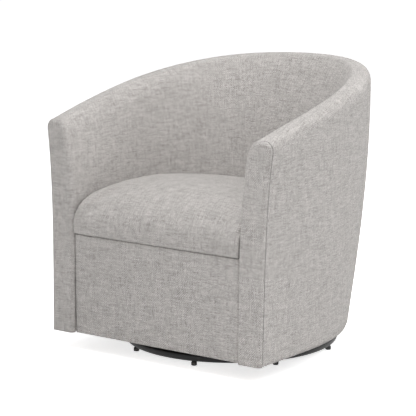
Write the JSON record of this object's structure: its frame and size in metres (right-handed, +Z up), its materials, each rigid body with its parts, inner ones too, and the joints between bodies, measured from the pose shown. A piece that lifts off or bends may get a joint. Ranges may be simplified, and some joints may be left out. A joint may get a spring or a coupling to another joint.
{
  "type": "swivel rocker",
  "caption": "Upholstered barrel armchair with a crowned seat cushion that turns on a low round steel base and rocks on springs.",
  "frame": {"origin": "on the floor under the middle of the chair's outline", "axes": "+Z up, the chair faces -Y, +X towards the arm on the right of a person who looks at the chair's front"},
  "size_m": [0.7528, 0.8039, 0.773],
  "materials": {
    "woven_fabric": "heathered light grey basketweave upholstery",
    "black_cambric": "black non-woven dust cloth",
    "felt": "needled felt",
    "black_steel": "satin black powder coat",
    "black_glide": "matt black nylon",
    "zinc_steel": "bright zinc plating",
    "ball_steel": "polished",
    "brass_cage": "stamped, satin",
    "spring_steel": "oiled spring wire",
    "nylon": "natural nylon",
    "hardwood": "sawn, unfinished",
    "plywood": "unfinished birch ply",
    "fibreboard": "brown upholstery board"
  },
  "bodies": {
    "base": {"base_ring": "black_steel", "base_glides": "black_glide", "base_arms": "black_steel", "hub_plate": "black_steel", "lower_race": "zinc_steel", "bearing_balls": "ball_steel", "ball_retainer": "brass_cage", "king_bolt": "zinc_steel", "king_washer": "zinc_steel", "king_nut": "zinc_steel"},
    "swivel": {"upper_race": "zinc_steel", "swivel_plate": "black_steel", "rocker_bracket_left": "black_steel", "rocker_bracket_right": "black_steel", "spring_strap_front": "black_steel", "spring_strap_back": "black_steel", "lower_spring_cups": "black_steel", "pivot_pin_left": "zinc_steel", "pivot_pin_right": "zinc_steel", "rock_springs": "spring_steel"},
    "chair": {"rocker_ear_left": "black_steel", "rocker_ear_right": "black_steel", "pivot_bush_left": "nylon", "pivot_bush_right": "nylon", "rocker_top_plate": "black_steel", "upper_spring_cups": "black_steel", "mounting_slat_left": "hardwood", "mounting_slat_right": "hardwood", "mounting_bolts": "zinc_steel", "mounting_nuts": "zinc_steel", "front_rail": "hardwood", "back_rail": "hardwood", "side_rail_left": "hardwood", "side_rail_right": "hardwood", "bottom_board": "plywood", "dust_cover": "black_cambric", "arm_post_left": "hardwood", "arm_post_right": "hardwood", "corner_ribs": "plywood", "back_ribs": "plywood", "crest_rail": "plywood", "shell_board_left": "fibreboard", "shell_board_back": "fibreboard", "shell_board_right": "fibreboard", "outer_cover_left": "woven_fabric", "outer_cover_back": "woven_fabric", "outer_cover_right": "woven_fabric", "inside_pad_left": "woven_fabric", "inside_pad_back": "woven_fabric", "inside_pad_right": "woven_fabric", "arm_front_left": "woven_fabric", "arm_front_right": "woven_fabric", "front_apron": "woven_fabric", "apron_board": "plywood", "seat_springs": "spring_steel", "spring_clips": "zinc_steel", "seat_deck": "felt", "seat_cushion": "woven_fabric"}
  },
  "joints": [
    {"name": "swivel_turn", "type": "hinge", "parent": "base", "child": "swivel", "pos_m": [0, -0.04, 0.0425], "axis": [0, 0, 1], "continuous": true},
    {"name": "rock", "type": "hinge", "parent": "swivel", "child": "chair", "pos_m": [0, -0.04, 0.125], "axis": [-1, 0, 0], "range_deg": [-6, 8], "stiffness_Nm_per_rad": 600, "deforming": ["rock_springs"]}
  ]
}
